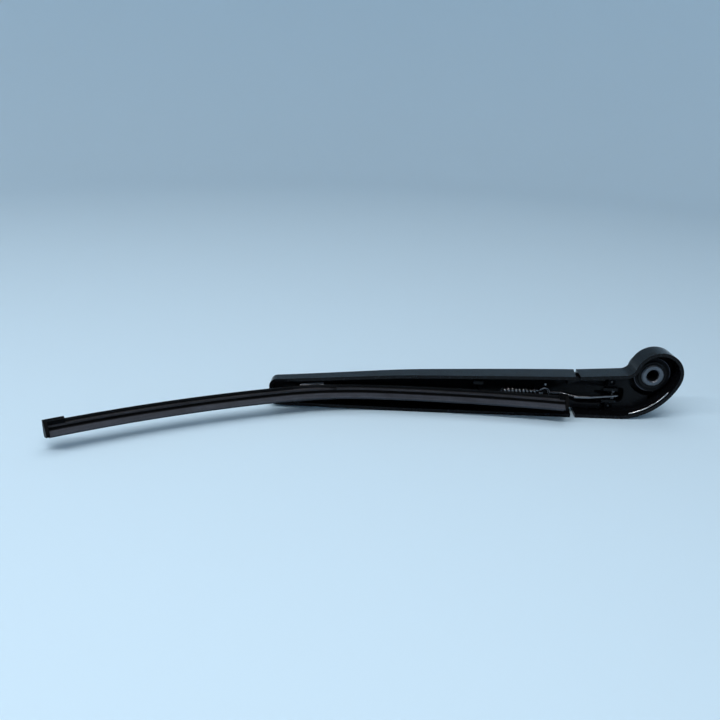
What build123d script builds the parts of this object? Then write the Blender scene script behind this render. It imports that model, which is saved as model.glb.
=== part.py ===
import os
from math import acos, asin, atan2, cos, degrees, radians, sin, sqrt, tan

from build123d import *

os.makedirs("parts", exist_ok=True)

# Sizes in millimetres. The spindle bore is the origin. "Along" runs from the bore to the arm's tip (-X),
# Y points away from the glass and Z up.

# Mould rules shared by the head and the arm
RIM = -6.0
OUTER = 11.5
DRAFT = 2.0
WALL = 2.4
PLATE = 2.3
EDGE_ROUND = 2.2

# Head outline
ROUND_ALONG = -2.0
ROUND_Z = 2.0
ROUND_R = 16.9
SWEEP_R = 43.5
BOTTOM_Z = -31.7
NECK_R = 6.5
TOP_AT_BORE = 3.0
TOP_AT_SPLIT = -0.5
SPLIT = 52.0

# Spindle seat
BORE_R = 4.1
INSERT_R = 7.85
BORE_LENGTH = 9.6
INSERT_CHAMFER = 0.8
BOSS_R = 12.6
BOSS_FACE = 1.6
SEAT_R = 10.0
SEAT_FACE = 0.6
NUT_ROOM_R = 11.4
NUT_SEAT = 9.4

# Web inside the head
WEB_FACE = 2.4
WEB_THICK = 2.6
WEB_ALONG = 30.4
POCKET_R = 16.2
SLOT_ALONG = 20.7
SLOT_LONG = 6.4
SLOT_TALL = 11.0
MARK_R = 2.3
MARK_DEPTH = 1.2
MARK_ALONG = 26.6
MARK_SPREAD = 18.6
RIB_THICK = 2.0
RIB_SPREAD = 9.0
RIB_FACE = 0.2

# Hinge between head and arm
HINGE_ALONG = 33.0
HINGE_Y = 7.0
HINGE_PIN_R = 2.0
HINGE_CLEARANCE = 0.05
PIN_SKIN = 1.0
EAR_R = 3.6
EAR_THICK = 4.0
EAR_GAP = 0.6
KNUCKLE_GAP = 0.6
SPLIT_GAP = 0.8
SPLIT_OPEN = 2.6
GUSSET_LONG = 9.0
GUSSET_WIDE = 3.6

# Spring link, measured from the spring pin towards the hook pin
MECH_Z = -16.4
HOOK_ALONG = 25.0
HOOK_Y = 3.0
HOOK_PIN_R = 1.4
HOOK_SLACK = 0.75
HOOK_LEAD = 0.56
ROD_R = 1.0
ROD_SIDE_GAP = 0.8
ROD_BEND_AT = 60.5
ROD_BEND_R = 4.0
BOW_FROM = 68.0
BOW_TO = 78.5
BOW_DEPTH = 6.9
CURL_TURN = 200.0
RING_R = 3.1
SPRING_PIN_ALONG = 121.5
SPRING_PIN_Y = 1.2
SPRING_PIN_R = 1.3
EYE_AT = 44.5
WIRE_R = 0.9
WIRE_GAP = 0.1
WIRE_SIDES = 8
COIL_R = 3.0
COIL_PITCH = 2.6
COIL_TURNS = 9.5
COIL_START = 16.8
POST_LONG = 7.0
POST_THICK = 2.6
POST_SPAN = 10.4
POST_SKIN = 0.8
SPRING_GAP = 0.9

# Arm outline and profile
TIP = 268.5
TIP_ROUND = 5.5
BEND_ALONG = 175.0
BEND_R = 800.0
TOP_BEND = -4.0
TOP_TIP = -10.8
CURVE_ALONG = 222.0
LOW_BEND = -31.5
LOW_TIP = -29.9
MID_ALONG = 150.0
OUTER_MID = 9.2
OUTER_CURVE = 6.0
OUTER_TIP = 4.8

# Blade pivot and adapter
PIVOT_ALONG = 237.0
PIVOT_Y = -3.3
BLADE_Z = -19.6
PIVOT_R = 1.6
PIVOT_CLEARANCE = 0.05
ADAPTER_LONG = 28.0
ADAPTER_WIDE = 13.0
ADAPTER_THICK = 1.4
ADAPTER_FACE = 1.1
LEDGE_LONG = 20.0
LEDGE_THICK = 1.5
LEDGE_LAP = 1.0
PAD_BURIED = 0.8
HUB_R = 2.55
HUB_WIDE = 6.6
BAY_RIB = 2.0
BAY_RIB_FACE = 0.5

# Blade section, measured from the middle plane of the two rails
BLADE_LENGTH = 353.0
MIDDLE_R = 198.0
MIDDLE_IN = 42.0
MIDDLE_OUT = 21.0
INNER_R = 1000.0
OUTER_R = 650.0
PIVOT_HEIGHT = 4.7
RAIL_THICK = 0.9
RAIL_IN = 1.2
RAIL_OUT = 3.6
COVER_HALF = 4.2
COVER_LOW = -1.3
COVER_SHOULDER = 1.0
FIN_HALF = 6.1
FIN_FACE = 0.5
FIN_BACK = 1.5
SPOILER_R = 10.0
COVER_TOP = 2.8
COVER_TOP_HALF = 1.2
RUBBER_HALF = 2.6
RUBBER_PLAY = 0.15
RUBBER_TOP = 1.1
RUBBER_LOW = -1.5
NECK_HALF = 0.6
NECK_LOW = -3.2
WEDGE_HALF = 2.1
WEDGE_LOW = -4.0
LIP_HALF = 0.35
LIP_LOW = -8.5
BRACKET_LONG = 30.0
BRACKET_LOW_HALF = 5.6
BRACKET_TOP = 1.8
CHEEK_LONG = 18.0
CHEEK_FOOT = 24.0
CHEEK_TOP = 7.2
CHEEK_THICK = 1.6
CHEEK_GAP = 0.3
CAP_HALF = 6.9
CAP_TOP = 4.4
CAP_LIP_LOW = -7.4
CAP_LIP_HALF = 0.8
CAP_ROUND = 1.6
CAP_WALL = 2.2
CAP_OUTER_LONG = 12.6
CAP_INNER_LONG = 6.0

# Nut cover
COVER_R = 13.9
COVER_RISE = 6.6
COVER_SKIN = 1.6
COVER_FLAT_R = 6.0
COVER_SEAT_GAP = 0.3
SPIGOT_DEPTH = 1.2
SPIGOT_WALL = 1.2
SPIGOT_PLAY = 0.3
LID_HINGE_ALONG = 17.0
LID_HINGE_RISE = 1.7
LID_HINGE_Z = -6.5
LID_BARREL_R = 1.3
LID_PIN_R = 0.8
LID_CLEARANCE = 0.05
LID_LUG_WIDE = 6.0
LID_EAR_WIDE = 2.0
LID_EAR_GAP = 0.3


def glass_plane(y):
    # Plane facing away from the glass, local x along the arm and local y up
    return Plane(origin=(0, y, 0), x_dir=(-1, 0, 0), z_dir=(0, 1, 0))


def side_plane(z):
    # Plane facing down, local x along the arm and local y away from the glass
    return Plane(origin=(0, 0, z), x_dir=(-1, 0, 0), z_dir=(0, 0, -1))


def head_top(along):
    # Height of the head's upper edge at a distance along the arm
    return TOP_AT_BORE + (TOP_AT_SPLIT - TOP_AT_BORE) * along / SPLIT


# Tangent points of the head outline
round_c = Vector(ROUND_ALONG, ROUND_Z)
sweep_z = BOTTOM_Z + SWEEP_R
sweep_along = ROUND_ALONG + sqrt((SWEEP_R - ROUND_R) ** 2 - (sweep_z - ROUND_Z) ** 2)
sweep_c = Vector(sweep_along, sweep_z)
sweep_low = Vector(sweep_along, BOTTOM_Z)
join = sweep_c + (round_c - sweep_c).normalized() * SWEEP_R
sweep_mid = sweep_c + ((join + sweep_low) * 0.5 - sweep_c).normalized() * SWEEP_R
edge_dir = Vector(SPLIT, TOP_AT_SPLIT - TOP_AT_BORE).normalized()
edge_up = Vector(-edge_dir.Y, edge_dir.X)
to_neck = Vector(0, TOP_AT_BORE) + edge_up * NECK_R - round_c
neck_back = to_neck.dot(edge_dir)
neck_run = sqrt(neck_back**2 - to_neck.length**2 + (ROUND_R + NECK_R) ** 2) - neck_back
neck_c = round_c + to_neck + edge_dir * neck_run
neck_low = neck_c - edge_up * NECK_R
neck_high = round_c + (neck_c - round_c).normalized() * ROUND_R
neck_mid = neck_c + ((neck_low + neck_high) * 0.5 - neck_c).normalized() * NECK_R
round_top = round_c + Vector(0, ROUND_R)


def head_face(end):
    # Outline of the head, ending at a distance along the arm
    with BuildSketch() as face:
        with BuildLine():
            Line((end, head_top(end)), neck_low)
            ThreePointArc(neck_low, neck_mid, neck_high)
            ThreePointArc(neck_high, round_top, join)
            ThreePointArc(join, sweep_mid, sweep_low)
            Line(sweep_low, (end, BOTTOM_Z))
            Line((end, BOTTOM_Z), (end, head_top(end)))
        make_face()
    return face.sketch


def arm_face(start):
    # Outline of the arm, starting at a distance along it
    slope = (TOP_BEND - TOP_AT_SPLIT) / (BEND_ALONG - SPLIT)
    top = TOP_AT_SPLIT + slope * (start - SPLIT)
    with BuildSketch() as face:
        with BuildLine():
            Polyline(
                (start, top),
                (BEND_ALONG, TOP_BEND),
                (TIP, TOP_TIP),
                (TIP, LOW_TIP),
                (BEND_ALONG, LOW_BEND),
                (start, BOTTOM_Z),
                close=True,
            )
        make_face()
        fillet(face.vertices().group_by(Axis.X)[-1], TIP_ROUND)
        fillet(face.vertices().filter_by_position(Axis.X, BEND_ALONG - WALL, BEND_ALONG + WALL), BEND_R)
    return face.sketch


def arm_profile(start, open_start, drop):
    # Side view of the arm between the rim and its outer curve, lowered by a thickness
    with BuildSketch() as profile:
        with BuildLine():
            Spline(
                (start, OUTER - drop),
                (MID_ALONG, OUTER_MID - drop),
                (CURVE_ALONG, OUTER_CURVE - drop),
                (TIP + WALL, OUTER_TIP - drop),
                tangents=((1, 0), (1, 0)),
            )
            Line((TIP + WALL, OUTER_TIP - drop), (TIP + WALL, RIM))
            Line((TIP + WALL, RIM), (open_start, RIM))
            Line((open_start, RIM), (start, OUTER - drop))
        make_face()
    return profile.sketch


# Space that the walls leave inside the head
draft_drop = (OUTER - RIM) * tan(radians(DRAFT))
with BuildPart() as head_hollow:
    with BuildSketch(glass_plane(RIM)):
        add(head_face(SPLIT + 2 * WALL))
        offset(amount=-WALL)
    extrude(amount=OUTER - PLATE - RIM, taper=DRAFT)

# Space for the arm's tongue between the cheeks
knuckle_r = OUTER - HINGE_Y
with BuildPart() as hinge_room:
    with BuildSketch(glass_plane(RIM)):
        add(head_face(SPLIT + 2 * WALL))
        offset(amount=-WALL)
    extrude(amount=2 * OUTER - RIM, taper=DRAFT)
    with BuildSketch(side_plane(MECH_Z)):
        with Locations((HINGE_ALONG, HINGE_Y)):
            Circle(knuckle_r + KNUCKLE_GAP)
            Rectangle(SPLIT, OUTER, align=(Align.MIN, Align.MIN))
    extrude(amount=SPLIT, both=True, mode=Mode.INTERSECT)

# Mounting head with its boss, web and ribs
ear_drop = WALL + draft_drop + EAR_GAP
ear_low = BOTTOM_Z + ear_drop
rib_start = HOOK_ALONG - HOOK_PIN_R - PIN_SKIN
hook_pin_half = RIB_SPREAD / 2 + RIB_THICK / 2
pin_top = head_top(HINGE_ALONG) - PIN_SKIN - (HINGE_Y - RIM) * tan(radians(DRAFT))
pin_low = BOTTOM_Z + PIN_SKIN + (HINGE_Y - RIM) * tan(radians(DRAFT))
lid_y = OUTER + LID_HINGE_RISE
lid_ear_mid = LID_LUG_WIDE / 2 + LID_EAR_GAP + LID_EAR_WIDE / 2
with BuildPart() as mounting_head:
    with BuildSketch(glass_plane(RIM)):
        add(head_face(SPLIT))
    extrude(amount=OUTER - RIM, taper=DRAFT)
    fillet(mounting_head.faces().sort_by(Axis.Y)[-1].edges(), EDGE_ROUND)
    add(head_hollow.part, mode=Mode.SUBTRACT)
    with BuildSketch(glass_plane(BOSS_FACE)):
        Circle(BOSS_R)
    extrude(amount=NUT_SEAT - BOSS_FACE)
    with BuildSketch(glass_plane(SEAT_FACE)):
        Circle(SEAT_R)
    extrude(amount=NUT_SEAT - SEAT_FACE)
    with BuildSketch(glass_plane(WEB_FACE)):
        add(head_face(WEB_ALONG))
        offset(amount=-WALL / 2)
        Circle(POCKET_R, mode=Mode.SUBTRACT)
        with Locations((-SWEEP_R, 0)):
            Rectangle(2 * SWEEP_R, 2 * SWEEP_R, mode=Mode.SUBTRACT)
        with Locations((SLOT_ALONG, MECH_Z)):
            SlotOverall(SLOT_TALL, SLOT_LONG, rotation=90, mode=Mode.SUBTRACT)
            Rectangle(WEB_ALONG, 2 * (ROD_R + ROD_SIDE_GAP), align=(Align.MIN, Align.CENTER), mode=Mode.SUBTRACT)
    extrude(amount=WEB_THICK)
    with BuildSketch(glass_plane(WEB_FACE)):
        with Locations((MARK_ALONG, MECH_Z)):
            with GridLocations(0, MARK_SPREAD, 1, 2):
                Circle(MARK_R)
    extrude(amount=MARK_DEPTH, mode=Mode.SUBTRACT)
    with BuildSketch(glass_plane(RIB_FACE)):
        with Locations((rib_start, MECH_Z)):
            with GridLocations(0, RIB_SPREAD, 1, 2):
                Rectangle(HINGE_ALONG - rib_start, RIB_THICK, align=(Align.MIN, Align.CENTER))
    extrude(amount=OUTER - PLATE / 2 - RIB_FACE)
    add(hinge_room.part, mode=Mode.SUBTRACT)
    with BuildSketch(side_plane(MECH_Z)):
        with Locations((HOOK_ALONG, HOOK_Y)):
            Circle(HOOK_PIN_R)
    extrude(amount=hook_pin_half, both=True, mode=Mode.SUBTRACT)
    with BuildSketch(side_plane(pin_top)):
        with Locations((HINGE_ALONG, HINGE_Y)):
            Circle(HINGE_PIN_R)
    extrude(amount=pin_top - pin_low, mode=Mode.SUBTRACT)
    with BuildSketch(glass_plane(RIM)):
        Circle(INSERT_R)
    extrude(amount=2 * OUTER, mode=Mode.SUBTRACT)
    with BuildSketch(glass_plane(NUT_SEAT)):
        Circle(NUT_ROOM_R)
    extrude(amount=OUTER, mode=Mode.SUBTRACT)
    with BuildSketch(side_plane(LID_HINGE_Z)):
        with Locations((LID_HINGE_ALONG, lid_y)):
            Circle(LID_BARREL_R)
            Rectangle(2 * LID_BARREL_R, LID_HINGE_RISE + PLATE / 2, align=(Align.CENTER, Align.MAX))
    extrude(amount=lid_ear_mid + LID_EAR_WIDE / 2, both=True)
    with BuildSketch(side_plane(LID_HINGE_Z)):
        with Locations((LID_HINGE_ALONG, OUTER)):
            Rectangle(3 * LID_BARREL_R, OUTER, align=(Align.CENTER, Align.MIN))
    extrude(amount=LID_LUG_WIDE / 2 + LID_EAR_GAP, both=True, mode=Mode.SUBTRACT)
    with BuildSketch(side_plane(LID_HINGE_Z)):
        with Locations((LID_HINGE_ALONG, lid_y)):
            Circle(LID_PIN_R + LID_CLEARANCE)
    extrude(amount=lid_ear_mid + LID_EAR_WIDE / 2, both=True, mode=Mode.SUBTRACT)
mounting_head.part.label = "mounting_head"
export_step(mounting_head.part, "parts/mounting_head.step")

# Spindle insert with a chamfered bore
with BuildPart() as spindle_insert:
    with BuildSketch(glass_plane(-INSERT_CHAMFER)):
        Circle(INSERT_R)
        Circle(BORE_R, mode=Mode.SUBTRACT)
    extrude(amount=INSERT_CHAMFER + BORE_LENGTH)
    chamfer(spindle_insert.edges().filter_by(GeomType.CIRCLE).group_by(Axis.Y)[0], INSERT_CHAMFER)
spindle_insert.part.label = "spindle_insert"
export_step(spindle_insert.part, "parts/spindle_insert.step")

# Nut cover with a spigot and a hinge lug
cover_base = OUTER + COVER_SEAT_GAP
cover_top = cover_base + COVER_RISE
with BuildPart() as nut_cover:
    with BuildSketch(Plane.XY):
        with BuildLine():
            Line((0, cover_base), (COVER_R, cover_base))
            Line((COVER_R, cover_base), (COVER_R, cover_base + COVER_SKIN))
            RadiusArc((COVER_R, cover_base + COVER_SKIN), (COVER_FLAT_R, cover_top), -COVER_R + COVER_SKIN)
            Line((COVER_FLAT_R, cover_top), (0, cover_top))
            Line((0, cover_top), (0, cover_base))
        make_face()
    revolve(axis=Axis.Y)
    with BuildSketch(side_plane(LID_HINGE_Z)):
        with Locations((LID_HINGE_ALONG, lid_y)):
            Circle(LID_BARREL_R)
            Rectangle(LID_HINGE_ALONG - COVER_R / 2, LID_BARREL_R, align=(Align.MAX, Align.MIN))
    extrude(amount=LID_LUG_WIDE / 2, both=True)
    with BuildSketch(glass_plane(cover_base - SPIGOT_DEPTH)):
        Circle(NUT_ROOM_R - SPIGOT_PLAY)
    extrude(amount=SPIGOT_DEPTH)
    with BuildSketch(glass_plane(cover_base - SPIGOT_DEPTH)):
        Circle(NUT_ROOM_R - SPIGOT_PLAY - SPIGOT_WALL)
    extrude(amount=COVER_RISE + SPIGOT_DEPTH - COVER_SKIN, mode=Mode.SUBTRACT)
    with BuildSketch(side_plane(LID_HINGE_Z)):
        with Locations((LID_HINGE_ALONG, lid_y)):
            Circle(LID_PIN_R)
    extrude(amount=lid_ear_mid + LID_EAR_WIDE / 2, both=True)
nut_cover.part.label = "nut_cover"
export_step(nut_cover.part, "parts/nut_cover.step")

# Stub pins of the arm hinge
ear_in_top = head_top(HINGE_ALONG) - ear_drop - EAR_THICK
ear_in_low = ear_low + EAR_THICK
with BuildPart() as hinge_pin_upper:
    with BuildSketch(side_plane(pin_top)):
        with Locations((HINGE_ALONG, HINGE_Y)):
            Circle(HINGE_PIN_R)
    extrude(amount=pin_top - ear_in_top)
hinge_pin_upper.part.label = "hinge_pin_upper"
export_step(hinge_pin_upper.part, "parts/hinge_pin_upper.step")

with BuildPart() as hinge_pin_lower:
    with BuildSketch(side_plane(ear_in_low)):
        with Locations((HINGE_ALONG, HINGE_Y)):
            Circle(HINGE_PIN_R)
    extrude(amount=ear_in_low - pin_low)
hinge_pin_lower.part.label = "hinge_pin_lower"
export_step(hinge_pin_lower.part, "parts/hinge_pin_lower.step")

# Pin that the hook pulls on
with BuildPart() as hook_pin:
    with BuildSketch(side_plane(MECH_Z)):
        with Locations((HOOK_ALONG, HOOK_Y)):
            Circle(HOOK_PIN_R)
    extrude(amount=hook_pin_half, both=True)
hook_pin.part.label = "hook_pin"
export_step(hook_pin.part, "parts/hook_pin.step")

# Frame of the spring link
spring_at = Vector(-SPRING_PIN_ALONG, SPRING_PIN_Y, MECH_Z)
hook_at = Vector(-HOOK_ALONG, HOOK_Y, MECH_Z)
link_long = (hook_at - spring_at).length
link_dir = (hook_at - spring_at).normalized()
link_out = Vector(-link_dir.Y, link_dir.X, 0)
link_side = Plane(origin=spring_at, x_dir=link_dir, z_dir=(0, 0, 1))

# Bent rod with an eye for the spring and a hook round its pin
curl_long = link_long + HOOK_LEAD
curl_r = HOOK_PIN_R + HOOK_SLACK + ROD_R
to_curl = Vector(curl_long - BOW_TO, BOW_DEPTH)
rise = atan2(to_curl.Y, to_curl.X) - asin(curl_r / to_curl.length)
curl_start = (curl_long + curl_r * sin(rise), -curl_r * cos(rise))
with BuildPart() as tension_hook:
    with BuildLine(link_side) as rod_line:
        FilletPolyline(
            (EYE_AT + 2 * RING_R, 0),
            (ROD_BEND_AT, 0),
            (BOW_FROM, -BOW_DEPTH),
            (BOW_TO, -BOW_DEPTH),
            curl_start,
            radius=ROD_BEND_R,
        )
        CenterArc((curl_long, 0), curl_r, degrees(rise) - 90, CURL_TURN)
    with BuildSketch(Plane(origin=rod_line.line @ 0, z_dir=rod_line.line % 0)):
        Circle(ROD_R)
    sweep(path=rod_line.line)
    with BuildSketch(link_side):
        with Locations((EYE_AT, 0)):
            Circle(ROD_R)
    revolve(axis=Axis(link_side.from_local_coords((EYE_AT + RING_R, 0, 0)), link_out))
tension_hook.part.label = "tension_hook"
export_step(tension_hook.part, "parts/tension_hook.step")

# Coil spring with a hook at each end
loop_r = SPRING_PIN_R + WIRE_GAP + WIRE_R
coil_end = COIL_START + COIL_TURNS * COIL_PITCH
eye_loop_r = ROD_R + WIRE_GAP + WIRE_R
with BuildPart() as coil:
    with BuildLine() as coil_line:
        Helix(COIL_PITCH, COIL_TURNS * COIL_PITCH, COIL_R)
    with BuildSketch(Plane(origin=coil_line.line @ 0, z_dir=coil_line.line % 0)):
        RegularPolygon(WIRE_R, WIRE_SIDES)
    sweep(path=coil_line.line, is_frenet=True)
coil_plane = Plane(origin=spring_at + link_dir * COIL_START, x_dir=-link_out, z_dir=link_dir)
coil_placed = coil_plane.location * coil.part

with BuildPart() as tension_spring:
    add(coil_placed)
    with BuildLine(link_side) as pin_hook:
        Line((COIL_START, -COIL_R), (0, -loop_r))
        CenterArc((0, 0), loop_r, -90, -200)
    with BuildSketch(Plane(origin=pin_hook.line @ 0, z_dir=pin_hook.line % 0)):
        RegularPolygon(WIRE_R, WIRE_SIDES)
    sweep(path=pin_hook.line, transition=Transition.ROUND)
    with BuildLine(link_side) as eye_hook:
        Line((coil_end, COIL_R), (EYE_AT, eye_loop_r))
        CenterArc((EYE_AT, 0), eye_loop_r, 90, -200)
    with BuildSketch(Plane(origin=eye_hook.line @ 0, z_dir=eye_hook.line % 0)):
        RegularPolygon(WIRE_R, WIRE_SIDES)
    sweep(path=eye_hook.line, transition=Transition.ROUND)
tension_spring.part.label = "tension_spring"
export_step(tension_spring.part, "parts/tension_spring.step")

# Pin that holds the spring in the arm
post_mid = POST_SPAN / 2 + POST_THICK / 2
post_face = SPRING_PIN_Y - SPRING_PIN_R - POST_SKIN
with BuildPart() as spring_pin:
    with BuildSketch(side_plane(MECH_Z)):
        with Locations((SPRING_PIN_ALONG, SPRING_PIN_Y)):
            Circle(SPRING_PIN_R)
    extrude(amount=post_mid + POST_THICK / 2, both=True)
spring_pin.part.label = "spring_pin"
export_step(spring_pin.part, "parts/spring_pin.step")

# Tongue of the arm that reaches between the cheeks
tongue_start = SPLIT + SPLIT_GAP + SPLIT_OPEN + WALL
tongue_end = HINGE_ALONG - knuckle_r
with BuildPart() as tongue_ears:
    with BuildSketch(glass_plane(HINGE_Y - EAR_R)):
        with BuildLine():
            Polyline(
                (tongue_start, head_top(tongue_start) - ear_drop),
                (tongue_end, head_top(tongue_end) - ear_drop),
                (tongue_end, ear_in_top),
                (tongue_start - GUSSET_LONG, ear_in_top),
                (tongue_start, ear_in_top - GUSSET_WIDE),
                close=True,
            )
        make_face()
        with BuildLine():
            Polyline(
                (tongue_start, ear_low),
                (tongue_end, ear_low),
                (tongue_end, ear_in_low),
                (tongue_start - GUSSET_LONG, ear_in_low),
                (tongue_start, ear_in_low + GUSSET_WIDE),
                close=True,
            )
        make_face()
    extrude(amount=OUTER - HINGE_Y + EAR_R)
    with BuildSketch(side_plane(MECH_Z)):
        with Locations((HINGE_ALONG, HINGE_Y)):
            Circle(EAR_R)
            Rectangle(TIP, knuckle_r, align=(Align.MIN, Align.MIN))
            with Locations((0, -EAR_R)):
                Rectangle(TIP, 2 * EAR_R, align=(Align.MIN, Align.MIN))
    extrude(amount=SPLIT, both=True, mode=Mode.INTERSECT)

with BuildPart() as tongue_plate:
    with BuildSketch(glass_plane(OUTER - PLATE)):
        with BuildLine():
            Polyline(
                (tongue_start, head_top(tongue_start) - ear_drop),
                (tongue_end, head_top(tongue_end) - ear_drop),
                (tongue_end, ear_low),
                (tongue_start, ear_low),
                close=True,
            )
        make_face()
    extrude(amount=PLATE)
    with BuildSketch(side_plane(MECH_Z)):
        with Locations((HINGE_ALONG, HINGE_Y)):
            Circle(knuckle_r)
            Rectangle(TIP, knuckle_r, align=(Align.MIN, Align.MIN))
    extrude(amount=SPLIT, both=True, mode=Mode.INTERSECT)

# Space that the walls leave inside the arm
loft_drop = (2 * OUTER - RIM) * tan(radians(DRAFT))
with BuildPart() as arm_hollow:
    with BuildSketch(glass_plane(RIM)):
        add(arm_face(SPLIT - 2 * WALL))
        offset(amount=-WALL)
    with BuildSketch(glass_plane(2 * OUTER)):
        add(arm_face(SPLIT - 2 * WALL))
        offset(amount=-WALL - loft_drop)
    loft()
    with BuildSketch(side_plane(-BOTTOM_Z)):
        add(arm_profile(SPLIT - WALL, SPLIT - WALL, PLATE))
    extrude(amount=-3 * BOTTOM_Z, mode=Mode.INTERSECT)

# Arm channel with its tongue, spring posts and blade seat
pad_y = ADAPTER_FACE + ADAPTER_THICK
ledge_in = ADAPTER_WIDE / 2 - LEDGE_LAP
rib_along = PIVOT_ALONG - ADAPTER_LONG / 2 - BAY_RIB
ledge_top = TOP_TIP + WALL / 4
ledge_low = LOW_TIP - WALL / 4
with BuildPart() as arm_channel:
    with BuildSketch(glass_plane(RIM)):
        add(arm_face(SPLIT))
    with BuildSketch(glass_plane(2 * OUTER)):
        add(arm_face(SPLIT))
        offset(amount=-loft_drop)
    loft()
    with BuildSketch(side_plane(-BOTTOM_Z)):
        add(arm_profile(SPLIT + SPLIT_GAP, SPLIT + SPLIT_GAP + SPLIT_OPEN, 0))
    extrude(amount=-3 * BOTTOM_Z, mode=Mode.INTERSECT)
    fillet(arm_channel.faces().sort_by(Axis.Y)[-1].edges(), EDGE_ROUND)
    add(arm_hollow.part, mode=Mode.SUBTRACT)
    add(tongue_plate.part)
    add(tongue_ears.part)
    with BuildSketch(side_plane(MECH_Z)):
        with Locations((HINGE_ALONG, HINGE_Y)):
            Circle(HINGE_PIN_R + HINGE_CLEARANCE)
    extrude(amount=SPLIT, both=True, mode=Mode.SUBTRACT)
    with BuildSketch(glass_plane(post_face)):
        with Locations((SPRING_PIN_ALONG, MECH_Z)):
            with GridLocations(0, 2 * post_mid, 1, 2):
                Rectangle(POST_LONG, POST_THICK)
    extrude(amount=OUTER_MID - post_face)
    with BuildSketch(side_plane(MECH_Z)):
        with Locations((SPRING_PIN_ALONG, SPRING_PIN_Y)):
            Circle(SPRING_PIN_R)
    extrude(amount=post_mid + POST_THICK / 2, both=True, mode=Mode.SUBTRACT)
    with BuildSketch(glass_plane(pad_y)):
        with Locations((PIVOT_ALONG, BLADE_Z)):
            Rectangle(ADAPTER_LONG, ADAPTER_WIDE)
    extrude(amount=OUTER_TIP - PAD_BURIED - pad_y)
    with BuildSketch(glass_plane(ADAPTER_FACE - LEDGE_THICK)):
        with Locations((PIVOT_ALONG, BLADE_Z + ledge_in)):
            Rectangle(LEDGE_LONG, ledge_top - BLADE_Z - ledge_in, align=(Align.CENTER, Align.MIN))
        with Locations((PIVOT_ALONG, BLADE_Z - ledge_in)):
            Rectangle(LEDGE_LONG, BLADE_Z - ledge_in - ledge_low, align=(Align.CENTER, Align.MAX))
    extrude(amount=LEDGE_THICK)
    with BuildSketch(glass_plane(BAY_RIB_FACE)):
        with Locations((rib_along, BLADE_Z)):
            Rectangle(BAY_RIB, ledge_top - ledge_low)
    extrude(amount=OUTER_TIP - PAD_BURIED - BAY_RIB_FACE)
arm_channel.part.label = "arm_channel"
export_step(arm_channel.part, "parts/arm_channel.step")

# Adapter that sits in the arm's tip and carries the blade pivot
with BuildPart() as blade_adapter:
    with BuildSketch(glass_plane(ADAPTER_FACE)):
        with Locations((PIVOT_ALONG, BLADE_Z)):
            Rectangle(ADAPTER_LONG, ADAPTER_WIDE)
    extrude(amount=ADAPTER_THICK)
    with BuildSketch(side_plane(BLADE_Z)):
        with Locations((PIVOT_ALONG, PIVOT_Y)):
            Circle(HUB_R)
            Rectangle(2 * HUB_R, ADAPTER_FACE - PIVOT_Y, align=(Align.CENTER, Align.MIN))
    extrude(amount=HUB_WIDE / 2, both=True)
    with BuildSketch(side_plane(BLADE_Z)):
        with Locations((PIVOT_ALONG, PIVOT_Y)):
            Circle(PIVOT_R + PIVOT_CLEARANCE)
    extrude(amount=HUB_WIDE / 2, both=True, mode=Mode.SUBTRACT)
blade_adapter.part.label = "blade_adapter"
export_step(blade_adapter.part, "parts/blade_adapter.step")

# Bow of the blade: a tight arc at its bracket and a wide arc to each end, tilted to clear the spring
loop_reach = SPRING_PIN_R + WIRE_GAP + 2 * WIRE_R
inner_turn = -MIDDLE_IN / MIDDLE_R
inner_c = Vector(sin(inner_turn), cos(inner_turn)) * (MIDDLE_R - INNER_R) - Vector(0, PIVOT_HEIGHT + MIDDLE_R)
from_spring = Vector(PIVOT_ALONG - SPRING_PIN_ALONG, PIVOT_Y - SPRING_PIN_Y)
spring_r = INNER_R + COVER_TOP + SPRING_GAP + loop_reach
lean = (spring_r**2 - inner_c.length**2 - from_spring.length**2) / (2 * inner_c.length * from_spring.length)
tilt = atan2(inner_c.Y, inner_c.X) - atan2(from_spring.Y, from_spring.X) + acos(lean)
middle_along = PIVOT_ALONG - (PIVOT_HEIGHT + MIDDLE_R) * sin(tilt)
middle_y = PIVOT_Y - (PIVOT_HEIGHT + MIDDLE_R) * cos(tilt)
inner_end = -BLADE_LENGTH / 2
outer_end = BLADE_LENGTH / 2
inner_stop = inner_end + CAP_WALL
outer_stop = outer_end - CAP_WALL
bracket_in = -BRACKET_LONG / 2
bracket_out = BRACKET_LONG / 2
rail_half = RAIL_THICK / 2
rubber_room = RUBBER_HALF + RUBBER_PLAY


def blade_plane(reach):
    # Section plane at a distance from the pivot towards the tip, local x away from the glass and local y up
    near = min(max(reach, -MIDDLE_IN), MIDDLE_OUT)
    wide_r = INNER_R if reach < 0 else OUTER_R
    bend = tilt + near / MIDDLE_R
    turn = bend + (reach - near) / wide_r
    along = middle_along + (MIDDLE_R - wide_r) * sin(bend) + wide_r * sin(turn)
    y = middle_y + (MIDDLE_R - wide_r) * cos(bend) + wide_r * cos(turn)
    return Plane(origin=(-along, y, BLADE_Z), x_dir=(-sin(turn), cos(turn), 0), z_dir=(cos(turn), sin(turn), 0))


def blade_path(start, end):
    # Middle line of the rails between two distances from the pivot
    stops = [start, *(reach for reach in (-MIDDLE_IN, MIDDLE_OUT) if start < reach < end), end]
    with BuildLine(mode=Mode.PRIVATE) as path:
        for first, last in zip(stops, stops[1:]):
            ThreePointArc(*(blade_plane(reach).origin for reach in (first, (first + last) / 2, last)))
    return path.line


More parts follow.
